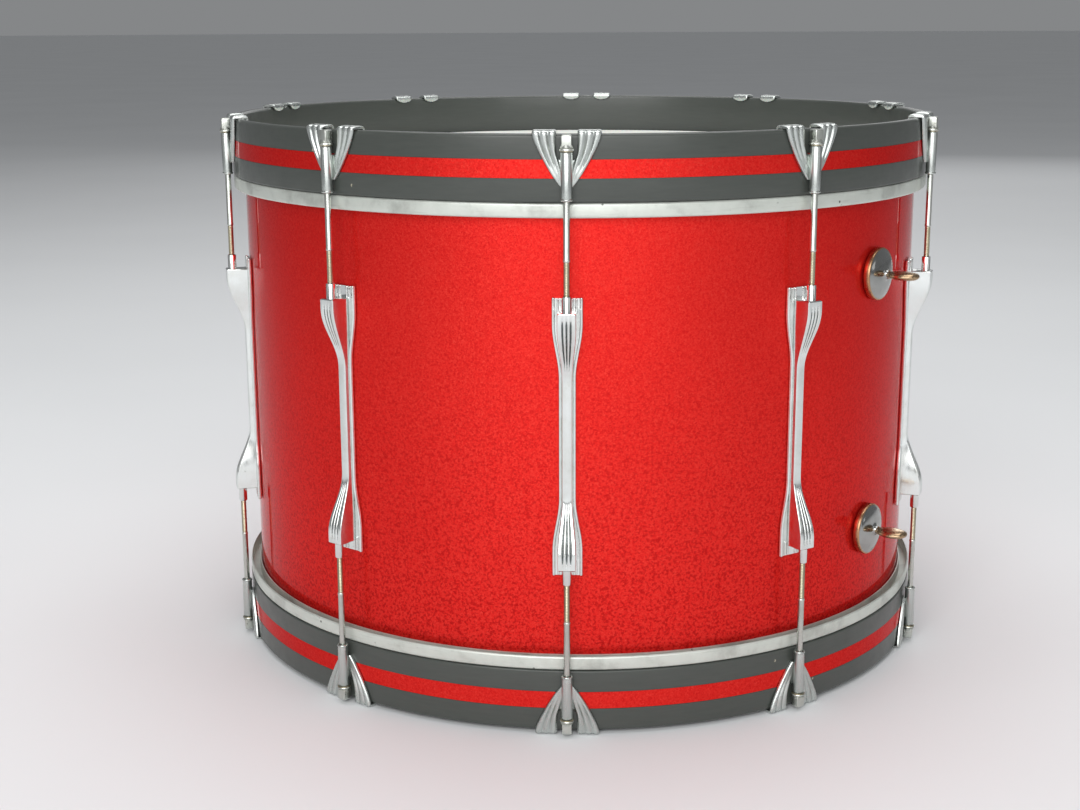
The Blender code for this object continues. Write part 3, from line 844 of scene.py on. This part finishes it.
def wing_path():
    """Stations from the tongue inside the hoop, over the rim and down to the point.

    Each is (outer radius, outer z, inner radius, inner z, share of the full width, share of the ribs'
    depth), with z from the rim.
    """
    rise = CLAW_TOP - RIM
    lip_out, lip_in = HOOP_INNER_RADIUS - 0.0034, HOOP_INNER_RADIUS - 0.0016
    face, back = HOOP_RADIUS + GAP + CLAW_PLATE, HOOP_RADIUS + GAP
    stations = []
    for k in range(6):  # the tongue inside the hoop, round at its end
        t = k / 6
        down = HOOK_DROP * (1 - t)
        bulge = 0.0006 * (1 - t) ** 2
        width = math.sqrt(1 - (1 - t * 0.97 - 0.03) ** 2.4)
        stations.append((lip_out + bulge, -down, lip_in - bulge * 0.3, -down, width, 0.0))
    for k in range(11):
        a = math.pi * (1 - k / 10)
        along = math.cos(a)
        middle, reach = (face + lip_out) / 2, (face - lip_out) / 2
        arch = rise * math.sin(a) ** 0.7 if k % 10 else 0.0
        outer = (middle + reach * math.copysign(abs(along) ** 0.72, along), arch)
        middle, reach = (back + lip_in) / 2, (back - lip_in) / 2
        inner = (middle + reach * math.copysign(abs(along) ** 0.4, along), GAP if k % 10 else 0.0)
        stations.append((*outer, *inner, 1.0, smooth_step(k / 10, 0.30, 0.85)))
    for z in spread(-0.0012, -CLAW_DEPTH, 28):
        stations.append((face, z, back, z, 1.0, 1.0))
    return stations


def rib_guide(z):
    """The inner side that the ribs run beside: it leans in smoothly towards the point."""
    return NOTCH_HALF_WIDTH - (NOTCH_HALF_WIDTH - TUBE_RADIUS * 0.55) * smooth_step(-z, 0.004, CLAW_DEPTH)


def wing_section(side, outer_r, outer_z, inner_r, inner_z, shrink, ribbed):
    """One outline across a wing: three rounded ribs outside, flat inside. shrink rounds off the tongue."""
    near, far = wing_inner_edge(outer_z), wing_outer_edge(outer_z)
    middle, half = (near + far) / 2, (far - near) / 2 * shrink
    near, far = middle - half, max(middle + half, middle - half + 0.0006)
    guide = rib_guide(outer_z) if outer_z < 0 and outer_r > inner_r else near
    deep = RIB_DEPTH * ribbed * (1 - smooth_step(-outer_z, 0.013, 0.026))
    rise = max(0.0, outer_z) / (CLAW_TOP - RIM)
    way = 1 if outer_r > (HOOP_RADIUS + HOOP_INNER_RADIUS) / 2 else -1
    shares = [-1.0 + k / 5 for k in range(5)] + spread(0.0, 1.0, 10 * WING_RIBS + 1)
    outside = []
    for number, u in enumerate(shares):
        x = guide + (guide - near) * u if u < 0 else guide + (far - guide) * u
        x = max(x, near + number * 2e-6)
        rib = abs(math.sin(math.pi * WING_RIBS * max(0.0, u))) ** 1.1 if u >= 0 else 0.0
        border = min(x - near, far - x)
        lower = deep * (1 - rib) + 0.0005 * max(0.0, 1 - border / 0.0008) ** 1.5
        outside.append((side * x, -(outer_r - way * lower * (1 - rise)), RIM + outer_z - lower * rise))
    inside = [(side * (near + (far - near) * u), -inner_r, RIM + inner_z) for u in (1.0, 0.5, 0.0)]
    return outside + inside


def claw_mesh():
    solids = []
    for side in (-1, 1):
        solids.append([wing_section(side, *station) for station in wing_path()])
    top, foot = RIM - TUBE_TOP, TUBE_FOOT
    half = 0.0021
    back, reach = HOOP_RADIUS + GAP + CLAW_PLATE / 2, ROD_CIRCLE - TUBE_BORE - 0.0004
    web = []
    for z in spread(RIM - NOTCH_DEPTH + 0.0006, RIM - CLAW_DEPTH - 0.0035, 9):
        slim = 1 - 0.5 * smooth_step(RIM - CLAW_DEPTH + 0.004 - z, 0.0, 0.008)
        inner = back if z > RIM - CLAW_DEPTH + 0.001 else back + 0.7 * (RIM - CLAW_DEPTH + 0.001 - z)
        wide, narrow = half * 1.7 * slim, half * slim
        web.append([(-wide, -inner, z), (wide, -inner, z), (narrow, -reach, z), (-narrow, -reach, z)])
    solids.append(web)
    wings = lofted("claw_wings", solids, [CLAW_CHROME], 46.0)
    tube = turned(
        "claw_tube",
        [
            (TUBE_BORE, foot + 0.0003),
            (TUBE_BORE + 0.0003, foot),
            (TUBE_RADIUS - 0.0007, foot),
            (TUBE_RADIUS - 0.0002, foot + 0.0003),
            (TUBE_RADIUS, foot + 0.0008),
            (TUBE_RADIUS - 0.0001, foot + 0.0013),
            (TUBE_RADIUS - 0.0005, foot + 0.0017),
            (TUBE_RADIUS - 0.0004, foot + 0.0030),
            (TUBE_RADIUS - 0.0001, top - 0.0006),
            (TUBE_RADIUS - 0.0005, top),
            (TUBE_BORE + 0.0003, top),
            (TUBE_BORE, top - 0.0003),
        ],
        [CLAW_CHROME],
        32,
        centre=(0.0, -ROD_CIRCLE),
    )
    return merged("claw", [wings, tube])


# ---- tension rods ----
def square_section(across, z, corner, count=6):
    """A square outline with round corners, as (x, y, z) points."""
    half = across / 2 - corner
    points = []
    for cx, cy, start in ((1, 1, 0), (-1, 1, 90), (-1, -1, 180), (1, -1, 270)):
        for degrees in spread(start, start + 90, count):
            a = math.radians(degrees)
            points.append((cx * half + corner * math.cos(a), cy * half + corner * math.sin(a), z))
    return points


def rod_meshes():
    """The tension rod about its own axis: plated shank and collar, worn thread, and square head."""
    collar_foot = RIM - COLLAR_FOOT
    collar_top = ROD_TOP - HEAD_HEIGHT
    profile = [(0, ROD_END), (THREAD_RADIUS - 0.0005, ROD_END)]
    z = ROD_END + 0.0004
    while z < THREAD_START - 0.0015:
        profile.append((THREAD_RADIUS, z))
        profile.append((THREAD_RADIUS - 0.00022, z + THREAD_PITCH / 2))
        z += THREAD_PITCH
    shank = [
        (THREAD_RADIUS - 0.0002, THREAD_START - 0.0010),
        (ROD_RADIUS, THREAD_START - 0.0006),
        (ROD_RADIUS + 0.00012, THREAD_START - 0.0002),
        (ROD_RADIUS + 0.00012, THREAD_START + 0.0005),
        (ROD_RADIUS - 0.0001, THREAD_START + 0.0009),
        (ROD_RADIUS - 0.0001, collar_foot),
    ]
    collar = [
        (COLLAR_RADIUS - 0.0008, collar_foot),
        (COLLAR_RADIUS - 0.0005, collar_foot + 0.0003),
        (COLLAR_RADIUS - 0.0006, collar_foot + 0.0006),
    ]
    upper = [
        (COLLAR_RADIUS - 0.0002, collar_foot + 0.0007),
        (COLLAR_RADIUS, collar_foot + 0.0011),
        (COLLAR_RADIUS - 0.0002, collar_top - 0.0007),
        (COLLAR_RADIUS - 0.0009, collar_top - 0.0001),
        (COLLAR_RADIUS - 0.0005, collar_top + 0.0001),
        (HEAD_ACROSS * 0.53, collar_top + 0.0018),
        (0, collar_top + 0.0018),
    ]
    marked = []
    for part, worn in ((profile, 1), (shank, 0), (collar, 1), (upper, 0)):
        marked += [(*point, worn) for point in part]
    stem = turned("rod_stem", marked, [NICKEL, BRASS], 22, 30.0)
    low = collar_top - 0.0003
    head = [
        square_section(HEAD_ACROSS - 0.0005, low, 0.0009),
        square_section(HEAD_ACROSS - 0.0001, low + 0.0009, 0.0007),
        square_section(HEAD_ACROSS, low + 0.0016, 0.0006),
        square_section(HEAD_ACROSS, ROD_TOP - 0.0009, 0.0006),
        square_section(HEAD_ACROSS - 0.0003, ROD_TOP - 0.0003, 0.0007),
        square_section(HEAD_ACROSS - 0.0011, ROD_TOP, 0.0010),
    ]
    return merged("tension_rod", [stem, lofted("rod_head", [head], [NICKEL], 40.0)])


# ---- tone controls ----
def along_y(mesh):
    """Turns a mesh made about +Z so that its axis points outwards along -Y."""
    mesh.transform(Matrix.Rotation(math.pi / 2, 4, "X"))
    return mesh


def tone_disc_mesh():
    size = TONE_DISC_RADIUS
    profile = [
        (0, 0.0006, 1),
        (size - 0.0010, 0.0006, 1),
        (size - 0.0003, 0.0010, 1),
        (size, 0.0018, 1),
        (size, 0.0044, 1),
        (size - 0.0003, 0.0050, 1),
        (size - 0.0010, 0.0053, 0),
        (size - 0.0016, 0.0054, 0),
        (size * 0.85, 0.0062, 0),
        (size * 0.75, 0.0069, 0),
        (size * 0.62, 0.0076, 0),
        (size * 0.48, 0.0081, 0),
        (size * 0.34, 0.0084, 0),
        (0.0050, 0.0086, 0),
        (0.0040, 0.0090, 0),
        (0.0033, 0.0097, 0),
        (0.0029, 0.0112, 1),
        (0, 0.0114, 1),
    ]
    disc = along_y(turned("tone_disc", profile, [DISC_NICKEL_PAINTED_DARK, COPPER], 72))
    shaft_profile = [
        (0, -TONE_SHAFT_END),
        (TONE_SHAFT_RADIUS - 0.0004, -TONE_SHAFT_END),
        (TONE_SHAFT_RADIUS, -0.0276),
        (TONE_SHAFT_RADIUS, 0.0020),
        (0, 0.0020),
    ]
    shaft = along_y(turned("tone_shaft", shaft_profile, [STEEL], 24))
    return merged("tone_disc", [disc, shaft])


def tone_blade_mesh():
    """The flat oval thumb blade, wide across and thin up and down, with a rounded rim."""
    sections = []
    for t in spread(0.0, 1.0, 25):
        out = BLADE_START - 0.0006 + (BLADE_END - BLADE_START + 0.0006) * t
        along = (out - BLADE_START) / (0.0345 - BLADE_START)
        wave = math.sin(math.pi * min(1.0, max(0.0, along)))
        tip = math.sqrt(max(0.0, 1 - max(0.0, (t - 0.86) / 0.14) ** 2)) * 0.92 + 0.08
        half_width = (0.0022 + 0.0068 * wave ** 0.8) * tip
        half_height = (0.0017 + 0.0013 * wave) * tip
        sections.append([(u * half_width, -out, v * half_height) for u, v in circle(1.0, 24)])
    return lofted("tone_blade", [sections], [BLADE_BRASS], 60.0)


def damper_meshes(to_edge):
    """An upper control's bent arm and its felt, pointing straight up, about the control's own axis."""
    top = to_edge - 0.0115
    thick = 0.0019
    face = DAMPER_FACE + 0.0005
    bend = 0.0045
    path = [(face, z) for z in spread(-0.0035, top - bend, 8)]
    for k in range(1, 7):
        a = math.pi / 2 * k / 6
        path.append((face + bend - bend * math.cos(a), top - bend + bend * math.sin(a)))
    path += [(y, top) for y in spread(face + bend + 0.002, face + 0.0330, 6)]
    sections = []
    for number, (y, z) in enumerate(path):
        here = Vector(path[min(number + 1, len(path) - 1)]) - Vector(path[max(number - 1, 0)])
        here.normalize()
        side = Vector((here.y, -here.x)) * thick  # towards the strip's inner face
        t = number / (len(path) - 1)
        half = 0.0070 - 0.0022 * smooth_step(t, 0.0, 0.5) + 0.0070 * smooth_step(t, 0.55, 0.9)
        half *= 1 - 0.35 * smooth_step(t, 0.94, 1.0)
        edge = 0.0005
        sections.append([
            (-half, y + edge * here.y, z),
            (-half + edge, y, z),
            (half - edge, y, z),
            (half, y + edge * here.y, z),
            (half, y + side.x, z + side.y),
            (-half, y + side.x, z + side.y),
        ])
    arm = lofted("damper_strip", [sections], [STEEL], 34.0)
    hub = turned(
        "damper_hub",
        [
            (TONE_SHAFT_RADIUS + 0.0003, -DAMPER_FACE),
            (0.0080, -DAMPER_FACE),
            (0.0088, -DAMPER_FACE - 0.0006),
            (0.0088, -DAMPER_FACE - 0.0050),
            (0.0080, -DAMPER_FACE - 0.0058),
            (TONE_SHAFT_RADIUS + 0.0003, -DAMPER_FACE - 0.0058),
        ],
        [STEEL],
        40,
    )
    along_y(hub)
    felt_profile = [
        (0, top + 0.0001),
        (0.0132, top + 0.0001),
        (0.0139, top + 0.0010),
        (0.0140, top + 0.0050),
        (0.0138, top + 0.0088),
        (0.0130, top + 0.0097),
        (0.0100, top + 0.0100),
        (0, top + 0.0100),
    ]
    felt = turned("damper_felt", felt_profile, [FELT], 64, 60.0, centre=(0.0, DAMPER_FACE + 0.019))
    return merged("damper_arm", [arm, hub]), felt


# ---- vent ----
def vent_mesh():
    out, flange = SHELL_RADIUS + GAP, 0.0012
    inside = SHELL_RADIUS - SHELL_WALL - 0.0010
    profile = [
        (VENT_HOLE, inside),
        (VENT_TUBE, inside),
        (VENT_TUBE, out),
        (VENT_FLANGE - 0.0003, out),
        (VENT_FLANGE, out + 0.0003),
        (VENT_FLANGE - 0.0004, out + 0.0008),
        (VENT_FLANGE - 0.0014, out + flange),
        (VENT_HOLE + 0.0012, out + flange),
        (VENT_HOLE + 0.0004, out + 0.0009),
        (VENT_HOLE, out + 0.0003),
    ]
    return along_y(turned("vent_eyelet", profile, [GROMMET], 48))


def build_fittings():
    lug, nut, screw = lug_mesh(), nut_mesh(), screw_mesh()
    claw, rod = claw_mesh(), rod_meshes()
    to_rod = Matrix.Translation((0, -ROD_CIRCLE, 0))
    for number in range(LUGS):
        turn = 2 * math.pi * number / LUGS
        label = f"{number + 1:02d}"
        lift = Matrix.Translation((0, 0, LUG_MIDDLE))
        put(f"lug_casting_{label}", lug, "drum_frame", [f"lug_{label}"], turn, inner=lift)
        for side in SIDES:
            flip = side == "lower"
            sign = -1 if flip else 1
            nut_shift = Matrix.Translation((0, -ROD_CIRCLE, sign * LUG_MIDDLE - LUG_MIDDLE))
            high = Matrix.Translation((0, 0, sign * LUG_MIDDLE + SCREW_HEIGHT))
            lug_node, claw_node, rod_node = f"lug_{label}", f"{side}_claw_{label}", f"{side}_rod_{label}"
            for name, mesh, body, slot, node, inner in (
                ("swivel_nut", nut, "drum_frame", "lug_chrome", lug_node, nut_shift),
                ("lug_screw", screw, "drum_frame", "rod_nickel", lug_node, high),
                ("claw_hook", claw, "drum_frame", "claw_chrome", claw_node, Matrix.Identity(4)),
                ("tension_rod", rod, rod_node, "rod_nickel", rod_node, to_rod),
            ):
                put(f"{side}_{name}_{label}", mesh, body, [node], turn, flip, inner)


def build_tone_controls():
    disc, blade = tone_disc_mesh(), tone_blade_mesh()
    for side, azimuth, height in tone_controls():
        body = f"{side}_tone_control"
        foot = Matrix.Translation((0, -SHELL_RADIUS, height))
        knob, damper = [f"{side}_tone_knob"], [f"{side}_damper_arm"]
        put(f"{side}_tone_disc", disc, body, knob, azimuth, inner=foot)
        put(f"{side}_tone_blade", blade, body, knob, azimuth, inner=foot)
        lean = -DAMPER_ANGLE if side == "upper" else math.pi + DAMPER_ANGLE
        leaning = foot @ Matrix.Rotation(lean, 4, "Y")
        arm, felt = damper_meshes(EDGE - abs(height))
        put(f"{side}_damper_strip", arm, body, damper, azimuth, inner=leaning)
        put(f"{side}_damper_felt", felt, body, damper, azimuth, inner=leaning)


# ---- floor, lights and camera ----
def floor_material():
    shade = Shade("pale_floor", Roughness=0.75)
    colour = shade.ramp(shade.noise(1.5, 2.0), [(0.3, (0.77, 0.78, 0.79)), (0.7, (0.80, 0.81, 0.82))])
    shade.feed(colour, "Base Color")
    return shade.material


def build_floor():
    reach, thick = 60.0, 0.02
    profile = [(0, 0.0), (2.0, 0.0), (reach, 0.0), (reach, -thick), (0, -thick)]
    floor = turned("floor", profile, [floor_material()], 96)
    obj = bpy.data.objects.new("floor", floor)
    bpy.context.scene.collection.objects.link(obj)


def area_light(name, place, target, size, power):
    light = bpy.data.lights.new(name, "AREA")
    light.shape = "RECTANGLE"
    light.size, light.size_y = size
    light.energy = power
    obj = bpy.data.objects.new(name, light)
    obj.location = place
    obj.visible_camera = False
    obj.rotation_euler = (Vector(target) - Vector(place)).to_track_quat("-Z", "Y").to_euler()
    bpy.context.scene.collection.objects.link(obj)


def build_studio():
    world = bpy.data.worlds.new("studio")
    world.use_nodes = True
    background = world.node_tree.nodes["Background"]
    background.inputs["Color"].default_value = WORLD_COLOUR
    background.inputs["Strength"].default_value = WORLD_STRENGTH
    bpy.context.scene.world = world
    for light in LIGHTS:
        area_light(*light)
    bpy.context.scene.view_settings.view_transform = "Standard"


def build_camera():
    camera = bpy.data.cameras.new("camera")
    camera.lens = CAMERA_LENS
    camera.sensor_width = 36.0
    camera.clip_start = 0.02
    obj = bpy.data.objects.new("camera", camera)
    turn = Matrix.Rotation(math.radians(CAMERA_YAW), 4, "Z")
    tilt = Matrix.Rotation(math.radians(CAMERA_PITCH), 4, "X")
    roll = Matrix.Rotation(math.radians(CAMERA_ROLL), 4, "Z")
    obj.matrix_world = Matrix.Translation(CAMERA_POSITION) @ turn @ tilt @ roll
    bpy.context.scene.collection.objects.link(obj)
    bpy.context.scene.camera = obj


build_shell()
build_hoops()
build_heads()
build_fittings()
build_tone_controls()
put("vent_eyelet", vent_mesh(), "drum_frame", ["vent_grommet"], VENT_AZIMUTH)
build_floor()
build_studio()
build_camera()
